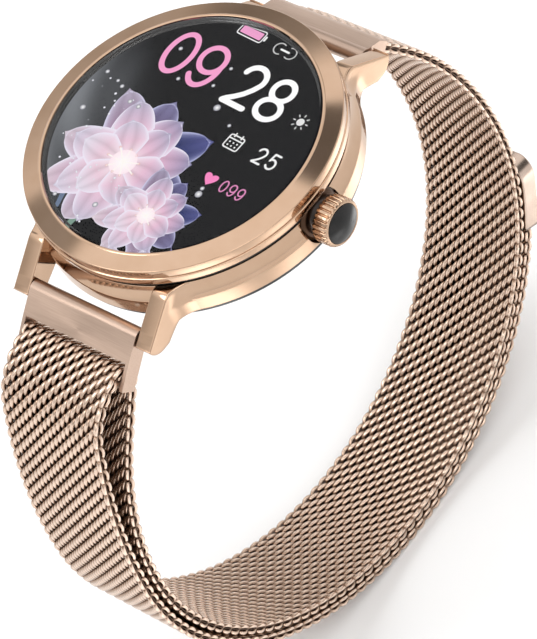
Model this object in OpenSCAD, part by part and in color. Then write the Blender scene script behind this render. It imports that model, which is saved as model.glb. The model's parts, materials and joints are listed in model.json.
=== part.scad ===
// Round smartwatch on a Milanese loop strap with a magnetic clasp.
// Millimetres. +Z leaves the display, +Y points to 12 o'clock, +X to the crown.
// The origin is the lowest point of the sensor window on the back of the case.

/* [Case] */
// Outer radius of the bezel ring
bezel_r = 21; // [20.6:0.1:21.2]
// Radius of the visible glass opening
glass_r = 18.3; // [17.9:0.1:18.6]
// Height of the bezel's outer edge above the back
bezel_z = 10.6; // [10.4:0.1:10.8]
// Rise of the conical bezel face from its outer edge to the glass
bezel_rise = 0.5; // [0.3:0.1:0.8]
// Largest radius of the middle case
case_r = 21.4; // [21.2:0.1:21.6]
// Radius of the bore that holds the works
bore_r = 18.6; // [18.5:0.05:18.7]
// Top of the middle case, where the bezel seam starts
case_top = 7.8; // [7.6:0.1:7.9]
// Bottom of the middle case, where the rear cover starts
case_bottom = 2.6; // [2.5:0.05:2.8]

/* [Lugs] */
// Clear width between the lugs
lug_gap = 18.2; // [18.1:0.05:18.4]
// Thickness of one lug across the watch
lug_w = 2.5; // [2.2:0.1:3]
// Distance of the lug tips from the middle of the watch
lug_y = 25; // [24.6:0.1:25.4]
// Radius of the hollow sweep from the case into each lug
lug_sweep_r = 4.5; // [3.5:0.5:6]
// Distance of the spring bars from the middle of the watch
bar_y = 23.5; // [23.3:0.05:23.6]
// Height of the spring bars above the back
bar_z = 2.9; // [2.8:0.05:3]

/* [Crown] */
// Outer radius of the crown
crown_r = 3.15; // [2.9:0.05:3.3]
// Length of the fluted part of the crown
crown_len = 2.3; // [2:0.1:2.6]
// Number of flutes around the crown
crown_flutes = 28; // [20:2:32]
// Height of the crown's axis above the back
crown_z = 5.5; // [5.4:0.05:5.6]
// Inward travel of the crown when it is pressed
crown_travel = 0.45; // [0.3:0.05:0.5]

/* [Strap] */
// Width of the woven mesh
mesh_w = 16.6; // [16:0.1:16.7]
// Thickness of the woven mesh
mesh_t = 1.5; // [1.3:0.05:1.55]
// Inner radius of the strap's round lower half
loop_r = 37.8; // [36:0.2:38]
// Height of the middle of the round lower half
loop_z = -32.7; // [-33:0.1:-32.4]
// Gap between the inner layer and the folded-back layer
layer_gap = 0.35; // [0.3:0.05:0.4]
// Width of the end piece and of the buckle
plate_w = 17.9; // [17.7:0.05:17.95]

/* [Clasp] */
// Angle of the clasp's far end below the middle of the loop
clasp_top_a = -9.5; // [-11:0.5:-9]
// Angle of the clasp's mesh end below the middle of the loop
clasp_low_a = -25; // [-27:0.5:-24]
// Thickness of the clasp
clasp_t = 2.35; // [2.3:0.05:2.6]
// Width of the clasp
clasp_w = 17.2; // [17:0.1:17.6]

/* [Hidden] */
$fn = 96;

rose = [0.86, 0.69, 0.58];
brushed = [0.83, 0.7, 0.62];
woven = [0.78, 0.62, 0.53];
black = [0.05, 0.05, 0.05];

// Case heights and radii
glass_top = bezel_z + bezel_rise;
glass_bottom = bezel_z - 0.6;
panel_t = 0.9;
seam_z = case_top + 0.4;
skirt_r = bore_r - 0.1;
skirt_z = 7.25;
frame_top = 6.5;
board_z = 7;
board_t = 0.8;
chip_z = board_z + board_t;
frame_r = 17.8;
screw_r = 15.9;
screw_angles = [45, 135, 225, 315];

// Crown stack along X
crown_x = 21.85;
crown_face_x = crown_x + crown_len;
cap_r = 2.6;
cap_rise = 0.65;
cap_seat_x = crown_face_x - 0.65;
stem_r = 0.85;
stem_in_x = 15.4;
tube_in_x = 17.6;
tube_out_x = 21;
tube_r = 1.45;
scoop_x = 20.3;

// Spring bars
bar_r = 0.75;
barrel_r = 1.15;
lug_in = lug_gap / 2;
tip_r = 0.4;
tip_len = 10.5;
release_travel = 1.5;

// Strap layers: mean radii about the middle of the loop
inner_m = loop_r + mesh_t / 2;
outer_m = loop_r + mesh_t * 1.5 + layer_gap;
// 12 o'clock side: one large arc from the loop up to the end piece
up12_m = 53.25;
up12_y = inner_m - up12_m;
up12_a = 39;
tuck = 1.4;
// 6 o'clock side: arc, straight and fold around the buckle's cross bar
up6_m = 42.75;
up6_y = up6_m - inner_m;
fold_y = -28.2;
fold_z = -1.2;
fold_m = 1.65;
cross_bar_r = 0.85;
fold_d = norm([fold_y - up6_y, fold_z - loop_z]);
fold_dir = atan2(fold_z - loop_z, up6_y - fold_y);
fold_slip = acos((up6_m + fold_m) / fold_d);
up6_a = fold_dir - fold_slip;
slot_len = fold_d * sin(fold_slip);
slot_head = 90 - up6_a;
// Folded-back layer: a bulge, a long side arc, then the loop itself
out_head_0 = 188;
out_head_1 = 250;
fold_end = [fold_y, fold_z] + fold_m * [sin(out_head_0), -cos(out_head_0)];
bulge_k = [sin(out_head_1) - sin(out_head_0), cos(out_head_0) - cos(out_head_1)];
side_k = [-1 - sin(out_head_1), cos(out_head_1)];
gap_k = [-outer_m - fold_end[0], loop_z - fold_end[1]];
out_det = bulge_k[0] * side_k[1] - bulge_k[1] * side_k[0];
bulge_m = (gap_k[0] * side_k[1] - gap_k[1] * side_k[0]) / out_det;
side_m = (bulge_k[0] * gap_k[1] - bulge_k[1] * gap_k[0]) / out_det;
bulge_c = fold_end + bulge_m * [-sin(out_head_0), cos(out_head_0)];
side_c = [side_m - outer_m, loop_z];
// Hinge lines where the loose end peels away, as angles around the loop
peel_a = 225;
peel_b = 265;
peel_c = 300;
tail_end = 360 + clasp_low_a;

// Turns a shape drawn in the Y-Z plane into a bar w wide, centred on X
module across(w) {
  rotate([90, 0, 90])
    linear_extrude(w, center = true)
      children();
}

// A straight round bar along X from x0 to x1
module rod_x(x0, x1, r) {
  translate([x0, 0, 0])
    rotate([0, 90, 0])
      cylinder(h = x1 - x0, r = r);
}

// A curved band w wide: mean radius m, thickness t, from angle a0 to a1 about [y, z]
module band(c, m, t, w, a0, a1) {
  translate([0, c[0], c[1]])
    rotate([90, 0, 90])
      rotate([0, 0, a0])
        rotate_extrude(angle = a1 - a0, $fn = 180)
          translate([m - t / 2, -w / 2])
            square([t, w]);
}

// A ring around Z
module ring(r0, r1, z0, z1) {
  translate([0, 0, z0])
    difference() {
      cylinder(h = z1 - z0, r = r1);
      translate([0, 0, -1])
        cylinder(h = z1 - z0 + 2, r = r0);
    }
}

// A flat block with rounded upright edges
module pad(c, s, r, z0, z1) {
  translate([c[0], c[1], z0])
    linear_extrude(z1 - z0)
      union() {
        square([s[0] - 2 * r, s[1]], center = true);
        square([s[0], s[1] - 2 * r], center = true);
        for (i = [-1, 1], j = [-1, 1])
          translate([i * (s[0] / 2 - r), j * (s[1] / 2 - r)])
            circle(r = r, $fn = 32);
      }
}

module bezel_ring() {
  color(rose)
    rotate_extrude()
      polygon([[glass_r - 0.6, glass_bottom - 0.4], [glass_r - 0.6, glass_bottom],
        [glass_r, glass_bottom], [glass_r, glass_top - 0.1],
        [glass_r + 0.15, glass_top], [bezel_r - 0.15, bezel_z],
        [bezel_r, bezel_z - 0.15], [bezel_r, seam_z + 0.2],
        [bezel_r - 0.2, seam_z], [skirt_r, seam_z], [skirt_r, skirt_z],
        [skirt_r - 0.6, skirt_z], [skirt_r - 0.6, glass_bottom - 0.4]]);
}

module lens() {
  color([0.1, 0.1, 0.12, 0.6])
    rotate_extrude()
      polygon([[0, glass_bottom], [glass_r - 0.1, glass_bottom],
        [glass_r - 0.1, glass_top - 0.25], [glass_r - 0.35, glass_top],
        [0, glass_top]]);
}

module display_panel() {
  color([0.09, 0.09, 0.09])
    translate([0, 0, glass_bottom - panel_t])
      cylinder(h = panel_t, r = glass_r - 0.7);
}

// A short folded ribbon from the panel down to the main board
module display_flex() {
  under = glass_bottom - panel_t;
  color([0.75, 0.45, 0.15])
    across(6)
      polygon([[11.5, under], [15.2, under], [15.2, chip_z], [13.4, chip_z],
        [13.4, chip_z + 0.2], [15, chip_z + 0.2], [15, under - 0.2],
        [11.5, under - 0.2]]);
}

module bezel_gasket() {
  color(black)
    ring(skirt_r + 0.15, bezel_r - 0.7, case_top, seam_z);
}

// The side of one lug, from the case to its blunt tip
module lug_side() {
  intersection() {
    polygon([[10, case_bottom], [10, case_top - 0.3], [lug_y - 5.9, case_top - 0.3],
      [lug_y, 2.9], [lug_y, 1.2], [bar_y - 1.6, 1.2], [lug_y - 5.8, case_bottom]]);
    union() {
      translate([lug_y - 2.1, 3.3])
        circle(r = 2.1);
      square([lug_y - 1.5, 12]);
    }
  }
}

// Half of the plan of two neighbouring lugs and the sweep that joins them to the case
module lug_plan() {
  out = lug_in + lug_w;
  sweep_y = sqrt(pow(case_r - 0.1 + lug_sweep_r, 2) - pow(out + lug_sweep_r, 2));
  difference() {
    translate([lug_in, 10])
      square([out + 5 - lug_in, lug_y - 10]);
    translate([out + lug_sweep_r, sweep_y])
      circle(r = lug_sweep_r);
    translate([out, sweep_y])
      square([20, 20]);
    translate([out + lug_sweep_r, 0])
      square([20, 40]);
  }
}

module lug() {
  intersection() {
    linear_extrude(12)
      lug_plan();
    translate([lug_in + 10, 0, 0])
      across(20)
        lug_side();
  }
}

module mid_case() {
  color(rose)
    difference() {
      union() {
        rotate_extrude()
          difference() {
            polygon([[bore_r, case_bottom], [case_r - 0.3, case_bottom],
              [case_r, case_bottom + 0.3], [case_r, case_top], [bore_r, case_top]]);
            translate([case_r + 5.6, case_top + 0.2])
              circle(r = 6.4);
          }
        for (i = [0, 1], j = [0, 1])
          mirror([i, 0, 0])
            mirror([0, j, 0])
              lug();
      }
      translate([0, 0, -1])
        cylinder(h = 14, r = bore_r);
      for (s = [-1, 1], t = [-1, 1])
        translate([0, s * bar_y, bar_z])
          rod_x(t > 0 ? lug_in - 1 : -tip_len - 0.1, t > 0 ? tip_len + 0.1 : 1 - lug_in, 0.45);
      translate([0, 0, crown_z]) {
        rod_x(bore_r - 2, bezel_r + 1, tube_r + 0.05);
        rod_x(scoop_x, case_r + 1, crown_r + 0.35);
      }
    }
}

module rear_cover() {
  color(black)
    difference() {
      rotate_extrude()
        polygon([[6.6, 0.7], [14, 0.7], [20.4, 1.6], [case_r - 0.3, 2.1],
          [case_r - 0.3, case_bottom], [bore_r - 0.2, case_bottom],
          [bore_r - 0.2, 2.9], [17.9, 2.9], [17.9, 3.4], [bore_r - 0.2, 3.4],
          [bore_r - 0.2, 3.6], [17.3, 3.6], [17.3, 2], [6.6, 2]]);
      ring(8.2, 9.4, 0, 1.1);
      ring(10.6, 11.8, 0, 1.1);
      for (a = screw_angles)
        rotate([0, 0, a])
          translate([screw_r, 0, 0]) {
            cylinder(h = 4, r = 0.5, $fn = 32);
            cylinder(h = 1.4, r = 1.1, $fn = 48);
          }
    }
}

module rear_gasket() {
  color([0.12, 0.12, 0.13])
    ring(17.95, bore_r - 0.05, 2.95, 3.35);
}

module sensor_window() {
  dome_r = (6.5 * 6.5 + 0.75 * 0.75) / 1.5;
  color([0.1, 0.1, 0.11, 0.7])
    intersection() {
      cylinder(h = 1.8, r = 6.5);
      translate([0, 0, dome_r])
        sphere(r = dome_r, $fn = 180);
    }
}

// Small round board with its two green lamps and the light sensor between them
module sensor_board() {
  color([0.1, 0.35, 0.2]) {
    translate([0, 0, 2.05])
      cylinder(h = 0.6, r = 5.9);
    for (x = [-2.6, 2.6])
      pad([x, 0], [1.4, 1.4], 0.2, 1.8, 2.05);
    pad([0, 0], [2.2, 2.2], 0.2, 1.8, 2.05);
  }
}

module charge_ring_inner() {
  color([0.83, 0.69, 0.3])
    ring(8.25, 9.35, 0.7, 1.1);
}

module charge_ring_outer() {
  color([0.83, 0.69, 0.3])
    ring(10.65, 11.75, 0.7, 1.1);
}

module charge_magnet() {
  color([0.6, 0.6, 0.62])
    ring(8.4, 11.4, 2, 2.9);
}

module battery() {
  color([0.7, 0.72, 0.75])
    pad([-2, -1], [20, 18], 2, 3, 6.3);
}

// Coin vibration motor: a sealed can with a shaft, and its off-centre weight
motor_y = 12.6;
motor_r = 3.5;

module motor_can() {
  color([0.75, 0.75, 0.77])
    translate([0, motor_y, 0]) {
      difference() {
        translate([0, 0, 3])
          cylinder(h = 2.8, r = motor_r);
        translate([0, 0, 3.3])
          cylinder(h = 2.2, r = motor_r - 0.3);
      }
      translate([0, 0, 3.2])
        cylinder(h = 2.4, r = 0.3, $fn = 32);
    }
}

module motor_rotor() {
  color([0.45, 0.45, 0.47])
    translate([0, motor_y, 3.5])
      difference() {
        union() {
          cylinder(h = 1.8, r = 0.8, $fn = 48);
          intersection() {
            cylinder(h = 1.8, r = motor_r - 0.6);
            translate([-4, -4, 0])
              cube([8, 4, 1.8]);
          }
        }
        translate([0, 0, -1])
          cylinder(h = 4, r = 0.35, $fn = 32);
      }
}

module main_board() {
  color([0.05, 0.3, 0.2])
    difference() {
      translate([0, 0, board_z])
        cylinder(h = board_t, r = 16.6);
      for (a = screw_angles)
        rotate([0, 0, a])
          translate([screw_r, 0, board_z - 1])
            cylinder(h = 4, r = 1.3, $fn = 48);
    }
}

// Pressed can with a thin top over the processor
module processor_shield() {
  color([0.75, 0.75, 0.78])
    difference() {
      pad([-6, 2], [11, 11], 0.5, chip_z, chip_z + 1.1);
      pad([-6, 2], [10.6, 10.6], 0.4, chip_z - 1, chip_z + 0.9);
    }
}

module memory_chip() {
  color(black)
    pad([6, 4], [8, 9], 0.2, chip_z, chip_z + 0.8);
}

module power_chip() {
  color(black)
    pad([6, -6], [4, 4], 0.2, chip_z, chip_z + 0.7);
}

module radio_module() {
  color([0.75, 0.75, 0.78])
    pad([-5, -9.5], [6.5, 6.5], 0.3, chip_z, chip_z + 0.9);
}

module microphone() {
  color([0.8, 0.72, 0.5])
    pad([1.5, -12.6], [3, 2.2], 0.2, chip_z, chip_z + 0.9);
}

// Plastic carrier: outer ring, board ledge and four screw posts
module inner_frame() {
  color([0.2, 0.2, 0.21])
    difference() {
      union() {
        rotate_extrude()
          polygon([[16.9, 3.7], [frame_r, 3.7], [frame_r, frame_top], [17, frame_top],
            [17, board_z], [16.2, board_z], [16.2, board_z - 0.4], [15.6, board_z - 0.4],
            [15.6, board_z - 0.7], [16.9, board_z - 0.7]]);
        for (a = screw_angles)
          rotate([0, 0, a])
            translate([screw_r, 0, 2.1])
              cylinder(h = board_z - 2.65, r = 1.2, $fn = 48);
      }
      for (a = screw_angles)
        rotate([0, 0, a])
          translate([screw_r, 0, 0])
            cylinder(h = 5.6, r = 0.45, $fn = 32);
      translate([12, -2.4, crown_z - 1.5])
        cube([8, 4.8, 4]);
    }
}

// Rear cover screw: countersunk in the cover, shank in the carrier's post
module screw(a) {
  color([0.3, 0.3, 0.32])
    rotate([0, 0, a])
      translate([screw_r, 0, 0])
        difference() {
          union() {
            translate([0, 0, 1.05])
              cylinder(h = 0.35, r = 1, $fn = 48);
            translate([0, 0, 1.3])
              cylinder(h = 4.1, r = 0.42, $fn = 32);
          }
          for (t = [0, 90])
            rotate([0, 0, t])
              translate([-0.7, -0.12, 0])
                cube([1.4, 0.24, 1.22]);
        }
}

module screw_1() { screw(screw_angles[0]); }
module screw_2() { screw(screw_angles[1]); }
module screw_3() { screw(screw_angles[2]); }
module screw_4() { screw(screw_angles[3]); }

module crown_tube() {
  color([0.7, 0.7, 0.72])
    translate([0, 0, crown_z])
      difference() {
        rod_x(tube_in_x, tube_out_x, tube_r);
        rod_x(tube_in_x - 1, tube_out_x + 1, stem_r + 0.05);
        rod_x(tube_out_x - 0.9, tube_out_x + 1, 1.25);
      }
}

module crown_o_ring() {
  color(black)
    translate([tube_out_x - 0.5, 0, crown_z])
      rotate([0, 90, 0])
        rotate_extrude()
          translate([1.065, 0])
            circle(r = 0.17, $fn = 32);
}

// Shaft of the crown with the collar that keeps it in its tube
module crown_stem() {
  color([0.7, 0.7, 0.72])
    translate([0, 0, crown_z]) {
      rod_x(stem_in_x, crown_x + 1.1, stem_r);
      rod_x(tube_in_x - 0.6, tube_in_x - 0.05, 1.25);
    }
}

module crown_knob() {
  color(rose)
    translate([0, 0, crown_z])
      difference() {
        rod_x(crown_x, crown_face_x, crown_r);
        rod_x(crown_x - 1, crown_x + 1.15, stem_r + 0.02);
        rod_x(cap_seat_x, crown_face_x + 1, cap_r + 0.03);
        for (i = [0:crown_flutes - 1])
          rotate([i * 360 / crown_flutes, 0, 0])
            translate([0, 0, crown_r + 0.06])
              rod_x(crown_x - 0.5, crown_face_x - 0.35, 0.22, $fn = 20);
      }
}

// Polished black stone with a low dome
module crown_cap() {
  dome_r = (cap_r * cap_r + cap_rise * cap_rise) / (2 * cap_rise);
  color(black)
    translate([0, 0, crown_z])
      intersection() {
        rod_x(cap_seat_x, crown_face_x + 2, cap_r);
        translate([crown_face_x + cap_rise - dome_r, 0, 0])
          sphere(r = dome_r, $fn = 180);
      }
}

module crown_switch() {
  color([0.8, 0.78, 0.7])
    difference() {
      translate([12.8, -2, crown_z - 1.2])
        cube([2, 4, 2.4]);
      translate([0, 0, crown_z])
        rod_x(13.4, 16, 0.65, $fn = 48);
    }
}

module switch_plunger() {
  color([0.25, 0.25, 0.27])
    translate([0, 0, crown_z])
      rod_x(13.9, stem_in_x, 0.6, $fn = 48);
}

// Hollow spring bar with a slot in its underside for the release knob
module bar_tube() {
  color([0.72, 0.72, 0.74])
    difference() {
      rod_x(-8.3, 8.3, bar_r, $fn = 64);
      rod_x(-9, 9, 0.5, $fn = 64);
      translate([2.8, -0.45, -2])
        cube([2.9, 0.9, 2]);
    }
}

// Fixed tip of a spring bar
module bar_tip() {
  color([0.72, 0.72, 0.74])
    rod_x(-tip_len, -7, tip_r, $fn = 48);
}

// Sliding tip of a spring bar with the knob that draws it back
module bar_release() {
  color([0.72, 0.72, 0.74]) {
    rod_x(4.5, tip_len, tip_r, $fn = 48);
    translate([5, 0, -2.1])
      cylinder(h = 2.1, r = 0.35, $fn = 32);
  }
}

// Room taken by the coil spring at its shortest
module bar_spring() {
  color([0.6, 0.6, 0.62])
    difference() {
      rod_x(-6.95, 2.9, 0.45, $fn = 48);
      rod_x(-8, 4, 0.28, $fn = 48);
    }
}

module at_bar(side) {
  translate([0, side * bar_y, bar_z])
    children();
}

module bar12_tube() { at_bar(1) bar_tube(); }
module bar12_tip() { at_bar(1) bar_tip(); }
module bar12_release() { at_bar(1) bar_release(); }
module bar12_spring() { at_bar(1) bar_spring(); }
module bar6_tube() { at_bar(-1) bar_tube(); }
module bar6_tip() { at_bar(-1) bar_tip(); }
module bar6_release() { at_bar(-1) bar_release(); }
module bar6_spring() { at_bar(-1) bar_spring(); }

// Barrel bore and knob slot shared by both ends of the strap
module barrel_cuts(side) {
  at_bar(side) {
    rod_x(-20, 20, bar_r + 0.05, $fn = 64);
    translate([2.8, -0.6, -3])
      cube([2.9, 1.2, 3]);
  }
}

// Brushed end piece at 12 o'clock: barrel, plate and the jaw that grips the mesh
module end_piece() {
  jaw = 1.15;
  neck = up12_a + tuck + 0.3;
  rim = [for (s = [1, -1], a = s > 0 ? [neck, up12_a] : [up12_a, neck])
    [up12_y, loop_z] + (up12_m + s * jaw) * [cos(a), sin(a)]];
  color(brushed)
    difference() {
      union() {
        translate([0, bar_y, bar_z])
          rod_x(-plate_w / 2, plate_w / 2, barrel_r);
        across(plate_w)
          polygon(concat([[bar_y + 0.43, bar_z + 0.92]], rim, [[bar_y - 0.34, bar_z - 0.96],
            [bar_y, bar_z]]));
      }
      barrel_cuts(1);
      band([up12_y, loop_z], up12_m, mesh_t + 0.1, mesh_w + 0.1, up12_a - 1, up12_a + tuck + 0.1);
    }
}

// Buckle frame at 6 o'clock: barrel, plate, two side arms and the cross bar
module buckle() {
  arm = (plate_w - mesh_w - 0.3) / 2;
  plate_top = [-bar_y - barrel_r * sin(40), bar_z + barrel_r * cos(40)];
  color(brushed)
    difference() {
      union() {
        across(plate_w)
          union() {
            translate([-bar_y, bar_z])
              circle(r = barrel_r);
            polygon([plate_top, [-26.9, 1.55], [-26.3, 0.8], [-bar_y + 0.1, bar_z - 0.9],
              [-bar_y, bar_z]]);
          }
        for (s = [-1, 1])
          translate([s * (plate_w - arm) / 2, 0, 0])
            across(arm)
              polygon([plate_top, [-26.9, 1.55], [-29.6, -0.9], [-28.1, -2.6],
                [-bar_y + barrel_r * sin(40), bar_z - barrel_r * cos(40)],
                [-bar_y, bar_z]]);
        translate([0, fold_y, fold_z])
          rod_x(-plate_w / 2 + 0.2, plate_w / 2 - 0.2, cross_bar_r);
      }
      barrel_cuts(-1);
    }
}

module mesh_upper_12() {
  color(woven)
    band([up12_y, loop_z], up12_m, mesh_t, mesh_w, 0, up12_a + tuck);
}

module mesh_bottom_12() {
  color(woven)
    band([0, loop_z], inner_m, mesh_t, mesh_w, 270, 360);
}

module mesh_bottom_6() {
  color(woven)
    band([0, loop_z], inner_m, mesh_t, mesh_w, 180, 270);
}

module mesh_upper_6() {
  color(woven)
    band([up6_y, loop_z], up6_m, mesh_t, mesh_w, 180 - up6_a, 180);
}

// Straight run of the mesh up into the buckle
module mesh_slot() {
  color(woven)
    translate([0, up6_y - up6_m * cos(up6_a), loop_z + up6_m * sin(up6_a)])
      rotate([slot_head, 0, 0])
        translate([-mesh_w / 2, 0, -mesh_t / 2])
          cube([mesh_w, slot_len, mesh_t]);
}

module mesh_fold() {
  color(woven)
    band([fold_y, fold_z], fold_m, mesh_t, mesh_w, slot_head - 90, out_head_0 - 90);
}

module mesh_out_bulge() {
  color(woven)
    band(bulge_c, bulge_m, mesh_t, mesh_w, out_head_0 - 90, out_head_1 - 90);
}

module mesh_out_side() {
  color(woven)
    band(side_c, side_m, mesh_t, mesh_w, out_head_1 - 90, 180);
}

module mesh_out_low() {
  color(woven)
    band([0, loop_z], outer_m, mesh_t, mesh_w, 180, peel_a);
}

module tail_a() {
  color(woven)
    band([0, loop_z], outer_m, mesh_t, mesh_w, peel_a, peel_b);
}

module tail_b() {
  color(woven)
    band([0, loop_z], outer_m, mesh_t, mesh_w, peel_b, peel_c);
}

module tail_c() {
  color(woven)
    band([0, loop_z], outer_m, mesh_t, mesh_w, peel_c, tail_end + 2);
}

clasp_m = outer_m + (clasp_t - mesh_t) / 2;

// Clasp block with a rounded free end, a socket for the mesh and a pocket for the magnet
module clasp_body() {
  end_a = clasp_top_a - 1.6;
  color(brushed)
    difference() {
      union() {
        band([0, loop_z], clasp_m, clasp_t, clasp_w, clasp_low_a, end_a);
        translate([0, clasp_m * cos(end_a), loop_z + clasp_m * sin(end_a)])
          rod_x(-clasp_w / 2, clasp_w / 2, clasp_t / 2);
      }
      band([0, loop_z], outer_m, mesh_t + 0.3, mesh_w + 0.1, clasp_low_a - 1, clasp_low_a + 2.1);
      band([0, loop_z], outer_m + 0.1, 1.3, 13.2, clasp_low_a + 5, clasp_top_a - 4);
    }
}

module clasp_magnet() {
  color([0.6, 0.6, 0.62])
    band([0, loop_z], outer_m + 0.1, 1.2, 13, clasp_low_a + 5.1, clasp_top_a - 4.1);
}

bezel_ring();
lens();
display_panel();
display_flex();
bezel_gasket();
mid_case();
rear_cover();
rear_gasket();
sensor_window();
sensor_board();
charge_ring_inner();
charge_ring_outer();
charge_magnet();
battery();
motor_can();
motor_rotor();
main_board();
processor_shield();
memory_chip();
power_chip();
radio_module();
microphone();
inner_frame();
screw_1();
screw_2();
screw_3();
screw_4();
crown_tube();
crown_o_ring();
crown_stem();
crown_knob();
crown_cap();
crown_switch();
switch_plunger();
bar12_tube();
bar12_tip();
bar12_release();
bar12_spring();
bar6_tube();
bar6_tip();
bar6_release();
bar6_spring();
end_piece();
buckle();
mesh_upper_12();
mesh_bottom_12();
mesh_bottom_6();
mesh_upper_6();
mesh_slot();
mesh_fold();
mesh_out_bulge();
mesh_out_side();
mesh_out_low();
tail_a();
tail_b();
tail_c();
clasp_body();
clasp_magnet();
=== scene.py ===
import json
import math

import bmesh
import bpy
import numpy as np
from mathutils import Matrix, Vector

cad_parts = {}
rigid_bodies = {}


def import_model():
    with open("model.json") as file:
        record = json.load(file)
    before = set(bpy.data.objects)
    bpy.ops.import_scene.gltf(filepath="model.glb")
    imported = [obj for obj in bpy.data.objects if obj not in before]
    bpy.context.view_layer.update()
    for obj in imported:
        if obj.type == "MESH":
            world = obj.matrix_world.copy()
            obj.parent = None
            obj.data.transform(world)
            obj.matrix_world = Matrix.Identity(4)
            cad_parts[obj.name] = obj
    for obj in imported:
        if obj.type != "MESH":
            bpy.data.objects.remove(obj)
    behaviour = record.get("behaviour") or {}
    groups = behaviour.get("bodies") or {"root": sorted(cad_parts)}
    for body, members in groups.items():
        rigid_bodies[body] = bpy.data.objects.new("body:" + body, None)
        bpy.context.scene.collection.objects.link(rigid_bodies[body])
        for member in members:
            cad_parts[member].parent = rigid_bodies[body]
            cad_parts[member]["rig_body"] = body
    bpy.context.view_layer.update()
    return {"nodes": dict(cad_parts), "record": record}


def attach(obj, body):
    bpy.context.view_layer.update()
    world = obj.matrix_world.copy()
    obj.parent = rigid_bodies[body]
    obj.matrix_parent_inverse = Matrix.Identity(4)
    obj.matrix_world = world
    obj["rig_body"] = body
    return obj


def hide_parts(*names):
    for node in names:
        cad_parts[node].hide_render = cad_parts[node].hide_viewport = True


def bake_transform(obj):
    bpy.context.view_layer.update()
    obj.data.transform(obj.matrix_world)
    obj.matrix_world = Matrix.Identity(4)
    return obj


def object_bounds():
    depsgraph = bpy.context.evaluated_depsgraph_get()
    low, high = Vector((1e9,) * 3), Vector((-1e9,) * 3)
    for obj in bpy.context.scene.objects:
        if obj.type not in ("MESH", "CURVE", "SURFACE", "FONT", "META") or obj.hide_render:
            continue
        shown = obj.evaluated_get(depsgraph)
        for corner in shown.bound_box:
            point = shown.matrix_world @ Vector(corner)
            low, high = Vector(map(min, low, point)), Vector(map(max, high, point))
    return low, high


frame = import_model()
nodes = frame["nodes"]
# The watch is in millimetres and degrees, the studio in metres
MM = 0.001
rng = np.random.default_rng(18)


def cosd(a):
    return math.cos(math.radians(a))


def sind(a):
    return math.sin(math.radians(a))


# ---------------------------------------------------------------- camera
CAMERA_AT = (283.617, -162.246, 352.838)
LENS, SENSOR = 257.87, 36.0
# Turned left from +Y, tilted down, and rolled about the line of sight
LOOK_LEFT, LOOK_DOWN, LOOK_ROLL = 60.4845, 49.3686, -28.4838


def make_camera():
    data = bpy.data.cameras.new("camera")
    data.sensor_fit = "HORIZONTAL"
    data.sensor_width = SENSOR
    data.lens = LENS
    data.clip_start, data.clip_end = 0.01, 5.0
    cam = bpy.data.objects.new("camera", data)
    bpy.context.scene.collection.objects.link(cam)
    turn = (Matrix.Rotation(math.radians(LOOK_LEFT), 4, "Z")
            @ Matrix.Rotation(math.radians(90 - LOOK_DOWN), 4, "X")
            @ Matrix.Rotation(math.radians(LOOK_ROLL), 4, "Z"))
    cam.matrix_world = Matrix.Translation(Vector(CAMERA_AT) * MM) @ turn
    bpy.context.scene.camera = cam


# ---------------------------------------------------------------- materials
# Depth of the fine relief
METAL_GRAIN, PLASTIC_GRAIN = 0.02 * MM, 0.03 * MM


def new_material(name):
    mat = bpy.data.materials.new(name)
    mat.use_nodes = True
    return mat, mat.node_tree.nodes, mat.node_tree.links, mat.node_tree.nodes["Principled BSDF"]


def noise(nt, links, scale, stretch=(1, 1, 1)):
    """A noise texture in the piece's own metres, stretched along its axes."""
    coord = nt.new("ShaderNodeTexCoord")
    place = nt.new("ShaderNodeMapping")
    place.inputs["Scale"].default_value = stretch
    tex = nt.new("ShaderNodeTexNoise")
    tex.inputs["Scale"].default_value = scale
    tex.inputs["Detail"].default_value = 3.0
    links.new(coord.outputs["Object"], place.inputs["Vector"])
    links.new(place.outputs["Vector"], tex.inputs["Vector"])
    return tex


def ramp(nt, links, source, stops):
    """Colours at their positions along a value from 0 to 1."""
    node = nt.new("ShaderNodeValToRGB")
    while len(node.color_ramp.elements) < len(stops):
        node.color_ramp.elements.new(0.5)
    for el, (at, col) in zip(node.color_ramp.elements, stops):
        el.position = at
        el.color = (*col, 1)
    links.new(source, node.inputs["Fac"])
    return node


def remap(nt, links, source, low, high):
    """A value from 0 to 1 spread over low to high."""
    node = nt.new("ShaderNodeMapRange")
    node.inputs["To Min"].default_value = low
    node.inputs["To Max"].default_value = high
    links.new(source, node.inputs["Value"])
    return node


def mottled(name, stops, rough, scale, stretch, bump, grain):
    """A surface whose tint and roughness wander a little, with optional fine grain as bump."""
    mat, nt, links, p = new_material(name)
    tex = noise(nt, links, scale, stretch)
    col = ramp(nt, links, tex.outputs["Fac"], stops)
    links.new(col.outputs["Color"], p.inputs["Base Color"])
    links.new(remap(nt, links, tex.outputs["Fac"], *rough).outputs["Result"],
              p.inputs["Roughness"])
    if bump:
        node = nt.new("ShaderNodeBump")
        node.inputs["Strength"].default_value = bump
        node.inputs["Distance"].default_value = grain
        links.new(tex.outputs["Fac"], node.inputs["Height"])
        links.new(node.outputs["Normal"], p.inputs["Normal"])
    return mat, p


def metal(name, dark, light, rough, scale, stretch=(1, 1, 1), bump=0.0, aniso=0.0):
    mat, p = mottled(name, [(0.3, dark), (0.7, light)], rough, scale, stretch, bump, METAL_GRAIN)
    p.inputs["Metallic"].default_value = 1.0
    p.inputs["Anisotropic"].default_value = aniso
    return mat


def plastic(name, dark, light, rough, scale, bump=0.0, specular=0.5):
    mat, p = mottled(name, [(0.35, dark), (0.65, light)], rough, scale, (1, 1, 1), bump,
                     PLASTIC_GRAIN)
    p.inputs["Specular IOR Level"].default_value = specular
    return mat


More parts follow.
